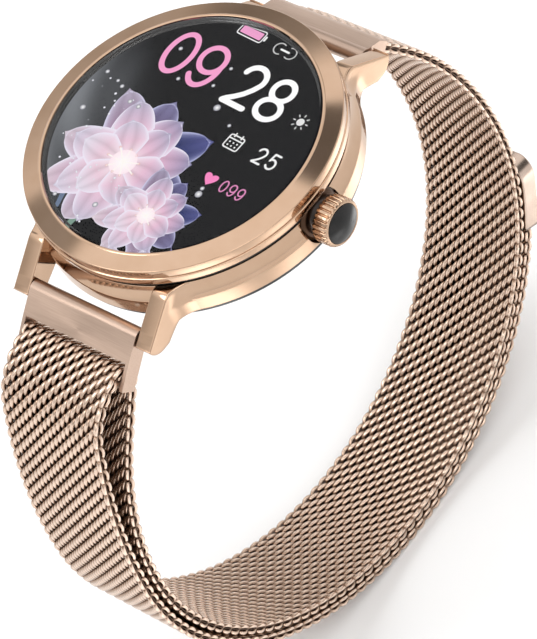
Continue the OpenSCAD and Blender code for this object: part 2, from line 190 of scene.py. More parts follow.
def woven(name):
    """Wire whose colour holds painted light: a painted highlight where it stands out of the strap
    and painted shade down between its neighbours.
    """
    mat, nt, links, p = new_material(name)
    painted_light = nt.new("ShaderNodeAttribute")
    painted_light.attribute_name = "painted_light"
    tex = noise(nt, links, 420.0)
    mix = nt.new("ShaderNodeMath")
    mix.operation = "MULTIPLY_ADD"
    mix.inputs[1].default_value = 0.10
    links.new(tex.outputs["Fac"], mix.inputs[0])
    links.new(painted_light.outputs["Fac"], mix.inputs[2])
    # from painted shade deep in the strap to a painted highlight at its faces, with a little random
    # tone from the noise
    col = ramp(nt, links, mix.outputs["Value"], [
        (0.08, (0.075, 0.044, 0.030)), (0.24, (0.14, 0.087, 0.062)), (0.46, (0.24, 0.162, 0.118)),
        (0.78, (0.39, 0.27, 0.20)), (1.02, (0.78, 0.60, 0.485))])
    links.new(col.outputs["Color"], p.inputs["Base Color"])
    links.new(remap(nt, links, tex.outputs["Fac"], 0.18, 0.28).outputs["Result"],
              p.inputs["Roughness"])
    p.inputs["Metallic"].default_value = 1.0
    return mat


def glass(name, tint, ior):
    mat, nt, links, p = new_material(name)
    tex = noise(nt, links, 60.0)
    col = ramp(nt, links, tex.outputs["Fac"], [(0.3, [c * 0.99 for c in tint]), (0.7, tint)])
    links.new(col.outputs["Color"], p.inputs["Base Color"])
    p.inputs["Roughness"].default_value = 0.0
    p.inputs["IOR"].default_value = ior
    p.inputs["Transmission Weight"].default_value = 1.0
    return mat


def screen_paint(name):
    """Light-giving picture colours, held on the piece's own points."""
    mat, nt, links, p = new_material(name)
    nt.remove(p)
    paint = nt.new("ShaderNodeAttribute")
    paint.attribute_name = "paint"
    light = nt.new("ShaderNodeEmission")
    light.inputs["Strength"].default_value = 1.0
    links.new(paint.outputs["Color"], light.inputs["Color"])
    links.new(light.outputs["Emission"], nt["Material Output"].inputs["Surface"])
    return mat


ROSE_POLISHED = metal("rose_polished", (0.475, 0.318, 0.216), (0.515, 0.355, 0.250), (0.07, 0.11),
                      260.0)
ROSE_BRUSHED = metal("rose_brushed", (0.46, 0.335, 0.265), (0.52, 0.385, 0.305), (0.34, 0.42),
                     700.0, (0.35, 9, 9), 0.35, 0.4)
ROSE_SATIN = metal("rose_satin", (0.47, 0.365, 0.30), (0.53, 0.415, 0.345), (0.20, 0.26), 500.0,
                   bump=0.1)
# a near-black metal that paints the shade in the crown's recess
RECESS_PAINTED_SHADE = metal("recess_painted_shade", (0.05, 0.028, 0.018), (0.09, 0.05, 0.03), (0.25, 0.35), 500.0)
WOVEN = woven("woven_wire_painted_light")
BARE_STEEL = metal("bare_steel", (0.55, 0.55, 0.56), (0.64, 0.64, 0.65), (0.22, 0.3), 800.0)
DARK_STEEL = metal("dark_steel", (0.14, 0.14, 0.15), (0.2, 0.2, 0.21), (0.3, 0.4), 800.0)
NICKEL = metal("nickel", (0.6, 0.6, 0.61), (0.68, 0.68, 0.69), (0.16, 0.24), 700.0)
FOIL = metal("foil", (0.6, 0.61, 0.63), (0.7, 0.71, 0.73), (0.3, 0.45), 500.0, bump=0.2)
SINTERED = metal("sintered", (0.3, 0.3, 0.32), (0.42, 0.42, 0.44), (0.45, 0.6), 3000.0, bump=0.3)
GOLD_CONTACT = metal("gold_contact", (0.8, 0.55, 0.2), (0.9, 0.66, 0.27), (0.12, 0.2), 700.0)
RUBBER = plastic("black_rubber", (0.012, 0.012, 0.012), (0.02, 0.02, 0.02), (0.6, 0.75), 1500.0,
                 0.2)
BLACK_GLOSS = plastic("black_gloss", (0.008, 0.008, 0.008), (0.014, 0.014, 0.014), (0.12, 0.2),
                      500.0)
BOARD = plastic("board_green", (0.01, 0.08, 0.04), (0.02, 0.13, 0.06), (0.35, 0.5), 1200.0, 0.1)
FLEX = plastic("amber_flex", (0.45, 0.17, 0.03), (0.55, 0.23, 0.05), (0.3, 0.4), 900.0)
CHIP = plastic("chip_black", (0.015, 0.015, 0.015), (0.03, 0.03, 0.03), (0.5, 0.6), 2500.0, 0.15)
CARRIER = plastic("carrier_grey", (0.03, 0.03, 0.032), (0.05, 0.05, 0.052), (0.5, 0.65), 1800.0,
                  0.2)
CREAM = plastic("switch_cream", (0.55, 0.5, 0.38), (0.62, 0.57, 0.44), (0.45, 0.55), 1200.0)
PANEL = plastic("panel_black", (0.006, 0.006, 0.006), (0.008, 0.008, 0.008), (0.35, 0.45), 600.0)
STONE = plastic("black_stone", (0.003, 0.003, 0.003), (0.010, 0.009, 0.009), (0.05, 0.10), 700.0,
                specular=0.28)
PAPER = plastic("floor_paper", (0.90, 0.90, 0.90), (0.92, 0.92, 0.92), (0.8, 0.9), 40.0,
                specular=0.1)
COVER_GLASS = glass("cover_glass", (0.97, 0.97, 0.97), 1.22)
TINTED_GLASS = glass("tinted_glass", (0.25, 0.25, 0.27), 1.4)
PAINT = screen_paint("screen_paint")

BY_SLOT = {
    "rose_polished": ROSE_POLISHED, "rose_brushed": ROSE_BRUSHED, "mesh": WOVEN,
    "glass": COVER_GLASS, "display": PANEL, "flex": FLEX, "black_rubber": RUBBER,
    "black_plastic": BLACK_GLOSS, "sensor_glass": TINTED_GLASS, "board": BOARD,
    "contact": GOLD_CONTACT, "magnet": NICKEL, "foil": FOIL, "weight": SINTERED, "chip": CHIP,
    "carrier": CARRIER, "dark_steel": DARK_STEEL, "steel": BARE_STEEL, "stone": STONE,
    "switch": CREAM,
}


def dress_cad_nodes():
    for row in frame["record"]["subparts"]:
        ob = nodes[row["node"]]
        ob.data.materials.clear()
        ob.data.materials.append(BY_SLOT[row["material_slot"]])


# ---------------------------------------------------------------- mesh helpers
def add_piece(name, verts, faces, material, body, replaces=(), smooth=True):
    """A new piece from millimetre points, attached to a body if one is given."""
    me = bpy.data.meshes.new(name)
    me.from_pydata((np.asarray(verts, float) * MM).tolist(), [], faces)
    me.validate()
    if smooth:
        me.polygons.foreach_set("use_smooth", [True] * len(me.polygons))
    me.materials.append(material)
    ob = bpy.data.objects.new(name, me)
    bpy.context.scene.collection.objects.link(ob)
    if body:
        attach(ob, body)
    if replaces:
        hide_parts(*replaces)
    return ob


def even_normals(ob):
    """Keeps flat faces flat beside softened edges."""
    mod = ob.modifiers.new("normals", "WEIGHTED_NORMAL")
    mod.mode = "FACE_AREA"
    mod.weight = 80
    mod.keep_sharp = True


def soften_edges(ob, width, steps):
    bevel = ob.modifiers.new("edges", "BEVEL")
    bevel.width = width * MM
    bevel.segments = steps
    bevel.limit_method = "ANGLE"
    bevel.angle_limit = math.radians(40)
    even_normals(ob)


def rounded(points, steps=5):
    """Outline of (x, y, radius) corners with each corner turned into an arc."""
    out = []
    n = len(points)
    for i, (x, y, r) in enumerate(points):
        p = Vector((x, y))
        if r <= 0:
            out.append((x, y))
            continue
        a = (Vector(points[i - 1][:2]) - p).normalized()
        b = (Vector(points[(i + 1) % n][:2]) - p).normalized()
        half = a.angle(b) / 2
        back = r / math.tan(half)
        centre = p + (a + b).normalized() * (r / math.sin(half))
        first, last = p + a * back - centre, p + b * back - centre
        turn = first.angle_signed(last)
        for k in range(steps + 1):
            q = first.copy()
            q.rotate(Matrix.Rotation(-turn * k / steps, 2))
            out.append(tuple(centre + q))
    return out


def quarter(a0, a1, count=5):
    """Cosines and sines from one angle to the next, for a softened edge."""
    return [(cosd(a), sind(a)) for a in np.linspace(a0, a1, count)]


def loft(count, per, flip=False, closed=False):
    """Faces that join rings in turn, with a cap at each end unless the last meets the first."""
    faces = []
    for i in range(count if closed else count - 1):
        a, b = i * per, (i + 1) % count * per
        for k in range(per):
            k2 = (k + 1) % per
            faces.append((a + k, a + k2, b + k2, b + k))
    if not closed:
        faces.append(tuple(range(per))[::-1])
        faces.append(tuple(range((count - 1) * per, count * per)))
    return [face[::-1] for face in faces] if flip else faces


def lathe(profile, steps=256):
    """Points and faces of a closed (r, z) outline turned round Z."""
    prof = np.array(profile)
    r, z = prof[:, 0], prof[:, 1]
    m = len(prof)
    a = np.linspace(0, 2 * np.pi, steps, endpoint=False)
    v = np.stack([np.outer(np.cos(a), r), np.outer(np.sin(a), r), np.outer(np.ones(steps), z)], -1)
    i, j = np.meshgrid(np.arange(steps), np.arange(m), indexing="ij")
    i2, j2 = (i + 1) % steps, (j + 1) % m
    f = np.stack([i * m + j, i2 * m + j, i2 * m + j2, i * m + j2], -1).reshape(-1, 4)
    area = 0.5 * np.sum(r * np.roll(z, -1) - np.roll(r, -1) * z)
    if area < 0:
        f = f[:, ::-1]
    return v.reshape(-1, 3), f.tolist()


def lathe_solid(profile, steps=192):
    """Like lathe, for an outline that starts and ends on the axis."""
    verts, faces, rings = [(0, 0, profile[0][1])], [], []
    for r, z in profile[1:-1]:
        rings.append(len(verts))
        for k in range(steps):
            a = 2 * math.pi * k / steps
            verts.append((r * math.cos(a), r * math.sin(a), z))
    top = len(verts)
    verts.append((0, 0, profile[-1][1]))
    for k in range(steps):
        k2 = (k + 1) % steps
        faces.append((0, rings[0] + k2, rings[0] + k))
        for a, b in zip(rings, rings[1:]):
            faces.append((a + k, a + k2, b + k2, b + k))
        faces.append((rings[-1] + k, rings[-1] + k2, top))
    return np.array(verts, float), faces


def turned_x(verts, at):
    """Turns points made round Z so that they lie round X, with +Z going to +X."""
    return np.stack([verts[:, 2] + at[0], verts[:, 0] + at[1], verts[:, 1] + at[2]], -1)


def refined(node, material, width, steps):
    """The CAD node again with its edges broken and its normals evened."""
    src = nodes[node]
    me = src.data.copy()
    me.name = node + "_fine"
    bm = bmesh.new()
    bm.from_mesh(me)
    bmesh.ops.remove_doubles(bm, verts=bm.verts, dist=1e-7)
    bmesh.ops.dissolve_limit(bm, angle_limit=math.radians(1.0), verts=bm.verts, edges=bm.edges)
    bm.to_mesh(me)
    bm.free()
    if "custom_normal" in me.attributes:
        me.attributes.remove(me.attributes["custom_normal"])
    me.polygons.foreach_set("use_smooth", [True] * len(me.polygons))
    me.materials.clear()
    me.materials.append(material)
    ob = bpy.data.objects.new(node + "_fine", me)
    bpy.context.scene.collection.objects.link(ob)
    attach(ob, src["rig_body"])
    soften_edges(ob, width, steps)
    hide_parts(node)


# ---------------------------------------------------------------- case
BEZEL_R, BEZEL_Z, BEZEL_LOW = 21.0, 10.6, 8.2
SPIGOT_IN, SPIGOT_R, SPIGOT_LOW = 17.9, 18.5, 7.25
LEDGE_IN, LEDGE_LOW = 17.7, 9.6
GLASS_R, GLASS_TOP, GLASS_LOW = 18.3, 11.1, 10.0
CASE_R, BORE_R, CASE_LOW, CASE_TOP = 21.4, 18.6, 2.6, 7.8
# The seam under the bezel: its inner wall and its floor
SEAM_IN, SEAM_LOW = 19.7, 7.4
# The flank is a hollow arc round this point of the section, down to where it meets the wall
FLANK_X, FLANK_Z, FLANK_R = 27.0, 8.0, 6.4
FLANK_END = FLANK_Z - math.sqrt(FLANK_R ** 2 - (FLANK_X - CASE_R) ** 2)


def make_bezel():
    """The ring with its conical face, a stepped side, a glass ledge and a spigot."""
    rim = BEZEL_R - 0.1
    outline = [
        (LEDGE_IN, LEDGE_LOW, 0), (LEDGE_IN, GLASS_LOW, 0), (GLASS_R, GLASS_LOW, 0),
        (GLASS_R, GLASS_TOP, 0.1), (GLASS_R + 0.32, GLASS_TOP, 0.12),
        (GLASS_R + 0.42, GLASS_TOP - 0.07, 0.04), (rim, BEZEL_Z, 0.14), (rim, 9.45, 0.05),
        (rim - 0.2, 9.36, 0.03), (rim - 0.12, 9.26, 0.03), (BEZEL_R, 9.18, 0.06),
        (BEZEL_R, BEZEL_LOW, 0.16), (SPIGOT_R, BEZEL_LOW, 0), (SPIGOT_R, SPIGOT_LOW, 0),
        (SPIGOT_IN, SPIGOT_LOW, 0), (SPIGOT_IN, LEDGE_LOW, 0)]
    v, f = lathe(rounded(outline), 320)
    even_normals(add_piece("bezel_ring_fine", v, f, ROSE_POLISHED, "case",
                           ["bezel_ring"]))


LUG_IN, LUG_OUT, LUG_SWEEP, LUG_Y0, LUG_END = 9.1, 11.6, 4.5, 15.5, 25.0
# The round tip, the sloping top from where it starts to bend, and the underside's drop
TIP_R, TIP_Z = 2.1, 3.3
SLOPE, SLOPE_Y, SLOPE_EASE = 4.4 / 5.9, 18.6, 1.0
DROP, DROP_Y, DROP_OVER = 1.4, 19.2, 2.7
LUG_ROOT_R, LUG_SOFT, LUG_THIN = 18.75, 0.24, 0.12


def lug_side(y, z):
    """How far the lug's outer side stands from the middle plane at y and height z."""
    r = CASE_R if z <= FLANK_END else FLANK_X - math.sqrt(FLANK_R ** 2 - (z - FLANK_Z) ** 2)
    reach = r + LUG_SWEEP
    sweep_y = math.sqrt(reach ** 2 - (LUG_OUT + LUG_SWEEP) ** 2)
    if y >= sweep_y:
        return LUG_OUT
    if y >= r * sweep_y / reach:
        return LUG_OUT + LUG_SWEEP - math.sqrt(LUG_SWEEP ** 2 - (y - sweep_y) ** 2)
    return math.sqrt(r * r - y * y) - 0.03


def lug_section(y):
    """The lug's outline at y, from its inner lower edge up, over the top and down its side."""
    inner = max(LUG_IN, math.sqrt(max(LUG_ROOT_R ** 2 - y * y, 0)))
    eased = min(max((y - SLOPE_Y) / SLOPE_EASE, 0), 1)
    past = y - SLOPE_Y - SLOPE_EASE / 2
    top = SEAM_LOW - SLOPE * (SLOPE_EASE * eased ** 2 / 2 if eased < 1 else past)
    low = CASE_LOW - DROP * min(max((y - DROP_Y) / DROP_OVER, 0), 1)
    tip_y = LUG_END - TIP_R
    if y > tip_y:
        half = math.sqrt(max(TIP_R ** 2 - (y - tip_y) ** 2, 0.0))
        low, top = max(low, TIP_Z - half), min(top, TIP_Z + half)
    if top - low < LUG_THIN:
        middle = (top + low) / 2
        low, top = middle - LUG_THIN / 2, middle + LUG_THIN / 2
    r = min(LUG_SOFT, (top - low) * 0.45)
    ring = [(inner + r + r * c, low + r + r * s) for c, s in quarter(270, 180)]
    ring += [(inner + r + r * c, top - r + r * s) for c, s in quarter(180, 90)]
    ring += [(lug_side(y, top - r + r * s) - r + r * c, top - r + r * s)
             for c, s in quarter(90, 0)]
    ring += [(lug_side(y, z), z) for z in np.linspace(top - r, low + r, 13)[1:-1]]
    ring += [(lug_side(y, low + r + r * s) - r + r * c, low + r + r * s)
             for c, s in quarter(0, -90)]
    return ring


def make_lugs():
    """Four lugs, each joined section by section from inside the case wall to its tip."""
    tip = 1.6
    ys = list(np.linspace(LUG_Y0, LUG_END - tip, 48))
    ys += [LUG_END - tip * (1 - math.sin(t)) for t in np.linspace(0, math.pi / 2, 12)[1:]]
    sections = [lug_section(y) for y in ys]
    for tag, sx, sy in (("a", 1, 1), ("b", -1, 1), ("c", 1, -1), ("d", -1, -1)):
        verts = [(sx * x, sy * y, z) for y, ring in zip(ys, sections) for x, z in ring]
        faces = loft(len(ys), len(sections[0]), flip=sx * sy < 0)
        even_normals(add_piece("lug_" + tag, verts, faces, ROSE_POLISHED, "case"))


CROWN_X, CROWN_Z = 21.85, 5.5
# The round recess in the case behind the crown, and the hole for its tube
RECESS_X, RECESS_R, TUBE_R = 20.3, 3.5, 1.5


def round_cutter(name, radius, length, x, steps):
    """A plain round bar along the crown's axis, from x outward."""
    v, f = lathe_solid([(0, 0), (radius, 0), (radius, length), (0, length)], steps)
    me = bpy.data.meshes.new(name)
    me.from_pydata((turned_x(v, (x, 0, CROWN_Z)) * MM).tolist(), [], f)
    ob = bpy.data.objects.new(name, me)
    bpy.context.scene.collection.objects.link(ob)
    return ob


def make_mid_case():
    """The case ring with its hollow flank, cut for the crown's recess and tube."""
    flank = [(FLANK_X - FLANK_R * math.cos(t), FLANK_Z - FLANK_R * math.sin(t)) for t in
             np.linspace(math.asin((FLANK_Z - FLANK_END) / FLANK_R),
                         math.asin((FLANK_Z - SEAM_LOW) / FLANK_R), 14)]
    chamfer = 0.25
    outline = [(BORE_R, CASE_LOW, 0), (CASE_R - chamfer, CASE_LOW, 0.1),
               (CASE_R, CASE_LOW + chamfer, 0.1)]
    outline += [(r, z, 0) for r, z in flank]
    outline += [(SEAM_IN, SEAM_LOW, 0), (SEAM_IN, CASE_TOP, 0), (BORE_R, CASE_TOP, 0)]
    v, f = lathe(rounded(outline), 384)
    ob = add_piece("mid_case_fine", v, f, ROSE_POLISHED, "case", ["mid_case"])
    cutters = [round_cutter("recess_cut", RECESS_R, 4, RECESS_X, 96),
               round_cutter("tube_cut", TUBE_R, 8, 16, 64)]
    for cutter in cutters:
        mod = ob.modifiers.new("cut", "BOOLEAN")
        mod.operation = "DIFFERENCE"
        mod.object = cutter
        mod.solver = "EXACT"
    bpy.context.view_layer.update()
    deps = bpy.context.evaluated_depsgraph_get()
    ob.data = bpy.data.meshes.new_from_object(ob.evaluated_get(deps))
    ob.modifiers.clear()
    for cutter in cutters:
        bpy.data.objects.remove(cutter)
    ob.data.polygons.foreach_set("use_smooth", [True] * len(ob.data.polygons))
    soften_edges(ob, 0.09, 2)


def make_seam_gasket():
    """The black rubber gasket that fills the seam between the bezel and the case; its black also
    paints the seam's shadow line.
    """
    inner, outer = SEAM_IN + 0.05, 20.42
    low, high = SEAM_LOW + 0.01, BEZEL_LOW - 0.01
    v, f = lathe([(inner, low), (outer, low), (outer + 0.08, 7.5), (outer, high), (inner, high)])
    even_normals(add_piece("bezel_gasket_fine", v, f, RUBBER, "case",
                           ["bezel_gasket"]))


def make_lens():
    r = GLASS_R - 0.1
    outline = [(0, GLASS_LOW, 0), (r, GLASS_LOW, 0.04), (r, GLASS_TOP, 0.22), (0, GLASS_TOP, 0)]
    v, f = lathe_solid(rounded(outline), 256)
    even_normals(add_piece("lens_fine", v, f, COVER_GLASS, "case", ["lens"]))


# ---------------------------------------------------------------- crown
FLUTES, POINTS_PER_FLUTE, FLUTE_DEPTH = 28, 16, 0.27
KNOB_R, SOCKET_R, STEM_R, KNOB_END, SOCKET_FLOOR = 3.15, 2.63, 0.87, 2.3, 1.65
# Places along the knob: distance out, how far the rim draws in, and how deep the flutes are
KNOB_ROWS = [
    (0, 0.25, 0.5), (0.05, 0.08, 1), (0.2, 0, 1), (0.65, 0, 1), (1.25, 0, 1), (1.7, 0, 1),
    (1.9, 0.03, 1), (2.08, 0.1, 0.5), (2.22, 0.22, 0), (KNOB_END, 0.38, 0)]
STONE_R, STONE_WALL, STONE_H = 2.6, 0.65, 1.3


def make_crown_knob():
    """The fluted knob, open in front for the stone and bored for its stem."""
    rows = [(x, KNOB_R - drop, deep) for x, drop, deep in KNOB_ROWS]
    rows += [(KNOB_END, SOCKET_R, 0), (SOCKET_FLOOR, SOCKET_R, 0), (SOCKET_FLOOR, STEM_R, 0),
             (0, STEM_R, 0)]
    n = FLUTES * POINTS_PER_FLUTE
    a = 2 * np.pi * np.arange(n) / n
    flute = np.maximum(0.0, np.cos(FLUTES * a)) ** 0.8
    verts = []
    for x, radius, deep in rows:
        r = radius - FLUTE_DEPTH * deep * flute
        verts.append(np.stack([np.full(n, CROWN_X + x), r * np.cos(a), CROWN_Z + r * np.sin(a)], -1))
    faces = loft(len(rows), n, flip=True, closed=True)
    even_normals(add_piece("crown_knob_fine", np.concatenate(verts), faces, ROSE_POLISHED, "crown",
                           ["crown_knob"]))


def make_crown_recess():
    """A dark ring lining the recess in the case, thicker towards the tube: painted shade, where the
    recess only lies in shadow.
    """
    inner, outer, back = TUBE_R + 0.02, RECESS_R - 0.06, 0.02
    v, f = lathe([(inner, back), (outer, back), (outer, 0.16), (2.9, 0.5), (inner, 0.62)], 96)
    even_normals(add_piece("crown_recess_shade_ring", turned_x(v, (RECESS_X, 0, CROWN_Z)), f,
                           RECESS_PAINTED_SHADE, "case"))


def make_crown_stone():
    """The black cabochon: a short wall under a shallow ball's cap."""
    rise = STONE_H - STONE_WALL
    ball = (STONE_R ** 2 + rise ** 2) / (2 * rise)
    dome = [(0, 0), (STONE_R - 0.05, 0), (STONE_R, 0.05), (STONE_R, STONE_WALL - 0.05),
            (STONE_R - 0.03, STONE_WALL + 0.01)]
    dome += [(r, STONE_H - ball + math.sqrt(ball ** 2 - r * r))
             for r in np.linspace(STONE_R - 0.08, 0.1, 16)]
    dome += [(0, STONE_H)]
    v, f = lathe_solid(dome, 128)
    add_piece("crown_cap_fine", turned_x(v, (CROWN_X + SOCKET_FLOOR, 0, CROWN_Z)), f, STONE,
              "crown", ["crown_cap"])


# ---------------------------------------------------------------- strap
# The strap's middle line runs in the Y-Z plane: the centre and radius of each arc
LOOP_Z, INNER_M, OUTER_M = -32.7, 38.55, 40.4
UP12_R, UP6_R = 53.25, 42.75
UP12_AT, LOOP_AT, UP6_AT = (INNER_M - UP12_R, LOOP_Z), (0, LOOP_Z), (UP6_R - INNER_M, LOOP_Z)
FOLD_AT, FOLD_R = (-28.2, -1.2), 1.65
# Headings where the folded strap starts and ends its outward bulge
BULGE_START, BULGE_END = 188.0, 250.0
UP12_TURN, TAIL_TURN = 40.4, 336.9
# Mesh and wire: rows along the strap, half the coil's height and reach, flattened wire
MESH_W, MESH_T, WIRE_R, WIRE_FLAT = 16.6, 1.5, 0.262, 1.3
ROW, ROW_START, REACH, HEIGHT, EDGE_BULGE = 0.935, 0.5, 0.95, 0.486, 0.34
COIL_TURNS, COIL_POINTS, WIRE_SIDES = 9.5, 16, 6
# Width and thickness of the dark sheet inside the mesh, which paints the shade seen through its
# holes
SHADE_RIBBON_W, SHADE_RIBBON_T = MESH_W - 0.72, 0.16
# Angles round the loop where the loose end bends, and how far each bend reaches
PEELS, BEND_HALF = (225, 265, 300), 3.6


def strap_path():
    """Arcs and one straight, in order from the end piece to the clasp."""
    (cy, cz), m = UP6_AT, UP6_R
    rise = math.atan2(FOLD_AT[1] - cz, cy - FOLD_AT[0])
    away = math.hypot(FOLD_AT[0] - cy, FOLD_AT[1] - cz)
    open_angle = math.acos((m + FOLD_R) / away)
    leave = math.degrees(rise - open_angle)
    straight = away * math.sin(open_angle)
    fold_end = (FOLD_AT[0] + FOLD_R * sind(BULGE_START), FOLD_AT[1] - FOLD_R * cosd(BULGE_START))
    # the bulge's and the side's radii that bring the strap onto the outer loop
    bulge = (sind(BULGE_END) - sind(BULGE_START), cosd(BULGE_START) - cosd(BULGE_END))
    side = (-1 - sind(BULGE_END), cosd(BULGE_END))
    gap = (-OUTER_M - fold_end[0], LOOP_Z - fold_end[1])
    bulge_r, side_r = np.linalg.solve(np.transpose([bulge, side]), gap)
    bulge_at = (fold_end[0] - bulge_r * sind(BULGE_START), fold_end[1] + bulge_r * cosd(BULGE_START))
    return [
        ("arc", UP12_AT, UP12_R, UP12_TURN, 0.0), ("arc", LOOP_AT, INNER_M, 360.0, 180.0),
        ("arc", UP6_AT, UP6_R, 180.0, 180.0 - leave),
        ("line", (cy - m * cosd(leave), cz + m * sind(leave)), straight, 90 - leave, 0),
        ("arc", FOLD_AT, FOLD_R, -leave, BULGE_START - 90),
        ("arc", bulge_at, bulge_r, BULGE_START - 90, BULGE_END - 90),
        ("arc", (side_r - OUTER_M, LOOP_Z), side_r, BULGE_END - 90, 180.0),
        ("arc", LOOP_AT, OUTER_M, 180.0, TAIL_TURN)]


PATH = strap_path()
PATH_LEN = [p[2] if p[0] == "line" else abs(math.radians(p[4] - p[3])) * p[2] for p in PATH]
PATH_AT = np.concatenate([[0], np.cumsum(PATH_LEN)])


def along(s):
    """Point, heading and left-hand normal of the middle line at lengths s."""
    s = np.asarray(s, float)
    pos, head = np.zeros((len(s), 2)), np.zeros((len(s), 2))
    seg = np.clip(np.searchsorted(PATH_AT, s, side="right") - 1, 0, len(PATH) - 1)
    for i, (kind, at, size, first, last) in enumerate(PATH):
        here = seg == i
        t = s[here] - PATH_AT[i]
        if kind == "line":
            head[here] = (cosd(first), sind(first))
            pos[here] = np.array(at) + np.outer(t, (cosd(first), sind(first)))
        else:
            way = 1.0 if last > first else -1.0
            a = np.radians(first) + way * t / size
            pos[here] = np.array(at) + size * np.stack([np.cos(a), np.sin(a)], -1)
            head[here] = way * np.stack([-np.sin(a), np.cos(a)], -1)
    return pos, head, np.stack([-head[:, 1], head[:, 0]], -1)


def onto_strap(flat, s0):
    """Bends flat strap points (x across, y along, z out) round the path from length s0."""
    pos, _, left = along(s0 + flat[:, 1])
    return np.column_stack([flat[:, 0], pos + left * flat[:, 2:3]])


def coil_line(odd):
    """Centre line of one flattened coil across the strap, in flat strap coordinates."""
    inner = MESH_W / 2 - WIRE_R * WIRE_FLAT - 0.01 - EDGE_BULGE
    pitch = 2 * inner / COIL_TURNS
    step = 2 * np.pi / COIL_POINTS
    if odd:
        tail = 0.4 * COIL_POINTS
        phi = np.arange(-tail, (COIL_TURNS - 1) * COIL_POINTS + tail + 0.5) * step
        x = -inner + pitch / 2 + pitch * phi / (2 * np.pi)
        return np.stack([x, -REACH * np.cos(phi), HEIGHT * np.sin(phi)], -1)
    phi = np.arange(0, COIL_TURNS * COIL_POINTS + 0.5) * step
    x = -inner + pitch * phi / (2 * np.pi)
    main = np.stack([x, -REACH * np.cos(phi), HEIGHT * np.sin(phi)], -1)
    # a last ring at each edge bulges outward and stops short of meeting its own start
    t = np.arange(1, int(0.9 * COIL_POINTS) + 1) * step
    last = np.stack([inner + EDGE_BULGE * np.sin(t) ** 2, REACH * np.cos(t),
                     -HEIGHT * np.sin(t)], -1)
    first = last[::-1] * np.array([-1, -1, 1])
    return np.concatenate([first, main, last])


def wire(line):
    """Points and faces of a closed six-sided wire along a line, flattened in the strap's plane."""
    t = np.gradient(line, axis=0)
    t /= np.linalg.norm(t, axis=1, keepdims=True)
    across = np.array([1.0, 0, 0])
    n1 = across - np.outer(t @ across, np.ones(3)) * t
    n1 /= np.linalg.norm(n1, axis=1, keepdims=True)
    n2 = np.cross(t, n1)
    a = np.arange(WIRE_SIDES) * 2 * np.pi / WIRE_SIDES
    ring = n1[:, None, :] * np.cos(a)[None, :, None] + n2[:, None, :] * np.sin(a)[None, :, None]
    ring = ring * np.array([WIRE_FLAT, WIRE_FLAT, 1.0])
    v = (line[:, None, :] + WIRE_R * ring).reshape(-1, 3)
    i, k = np.meshgrid(np.arange(len(line) - 1), np.arange(WIRE_SIDES), indexing="ij")
    here, after = i * WIRE_SIDES, (i + 1) * WIRE_SIDES
    k2 = (k + 1) % WIRE_SIDES
    quads = np.stack([here + k, here + k2, after + k2, after + k], -1).reshape(-1, 4)
    e = (len(line) - 1) * WIRE_SIDES
    # two quads close each end
    caps = np.array([[0, 3, 2, 1], [0, 5, 4, 3], [e, e + 1, e + 2, e + 3], [e, e + 3, e + 4, e + 5]])
    return v, np.concatenate([quads, caps])


COILS = [wire(coil_line(odd)) for odd in (False, True)]


def row_at(k):
    """Length along the strap of row k's middle."""
    return (k + 0.5) * ROW + ROW_START


def row_near(s):
    """The row whose middle lies nearest to length s."""
    return int(round((s - ROW_START) / ROW - 0.5))


def weave(name, k0, k1, body, replaces=()):
    """Rows k0 to k1 of the strap as one piece, on a thin dark sheet that stops the view through and
    paints the shade in the mesh's holes.
    """
    verts, faces, painted_light, base = [], [], [], 0
    # the wire is painted fully lit towards the strap's edges, where its neighbours no longer shade
    # it
    edge_from, edge_fade = 7.55, 0.65
    for k in range(k0, k1):
        v, f = COILS[k % 2]
        verts.append(onto_strap(v, row_at(k)))
        at_edge = np.clip((np.abs(v[:, 0]) - edge_from) / edge_fade, 0, 1)
        # painted light by depth: painted shade deep in the strap, a painted highlight at its faces
        painted_light.append(np.maximum(np.abs(v[:, 2]) / (MESH_T / 2), at_edge))
        faces += (f + base).tolist()
        base += len(v)
    # a dark sheet between the wire's two faces, painted all shade, stands in for the shade in the
    # mesh's holes
    w, t, y = SHADE_RIBBON_W / 2, SHADE_RIBBON_T / 2, -ROW / 2
    shade_ribbon = np.array([(-w, y, -t), (w, y, -t), (w, y, t), (-w, y, t)])
    verts += [onto_strap(shade_ribbon, row_at(k)) for k in range(k0, k1 + 1)]
    painted_light.append(np.zeros(4 * (k1 - k0 + 1)))
    faces += [tuple(base + i for i in face) for face in loft(k1 - k0 + 1, 4)]
    ob = add_piece(name, np.concatenate(verts), faces, WOVEN, body, list(replaces))
    values = np.concatenate(painted_light).astype(np.float32)
    ob.data.attributes.new("painted_light", "FLOAT", "POINT").data.foreach_set("value", values)
    return ob


